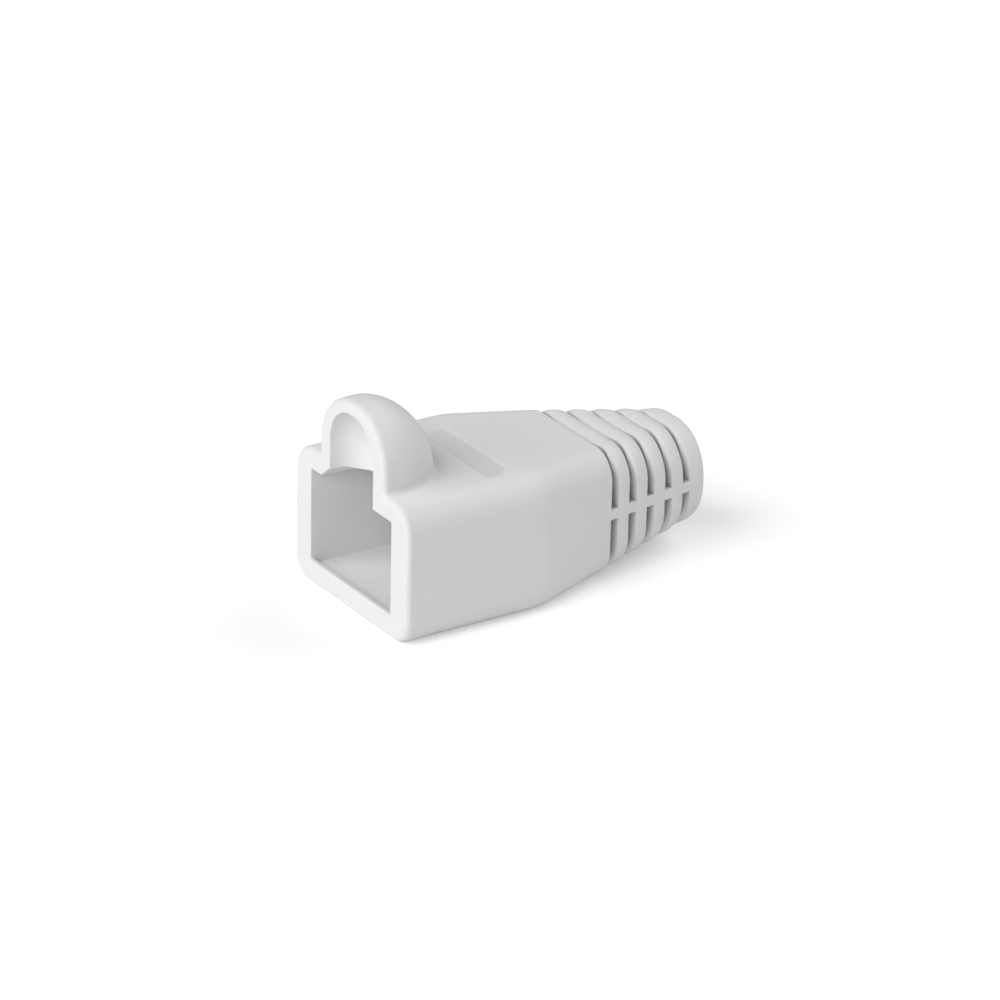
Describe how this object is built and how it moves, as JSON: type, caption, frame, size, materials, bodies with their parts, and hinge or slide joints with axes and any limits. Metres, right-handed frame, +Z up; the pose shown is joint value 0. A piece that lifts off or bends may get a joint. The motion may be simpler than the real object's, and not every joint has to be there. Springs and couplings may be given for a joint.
{
  "type": "rj45 strain relief boot",
  "caption": "Soft moulded boot with a square sleeve and latch hood for a modular plug, and a ringed tapering tail that keeps the cable from bending sharply.",
  "frame": {"origin": "centre of the bounding box at the flat underside of the sleeve", "axes": "+Y from the plug's mouth towards the tail, +Z up towards the latch hood, +X to the right seen from the mouth along +Y"},
  "size_m": [0.0164, 0.03, 0.0173],
  "materials": {
    "boot": "light grey flexible moulding, fine matte surface"
  },
  "bodies": {
    "root": {"boot": "boot"}
  },
  "joints": []
}
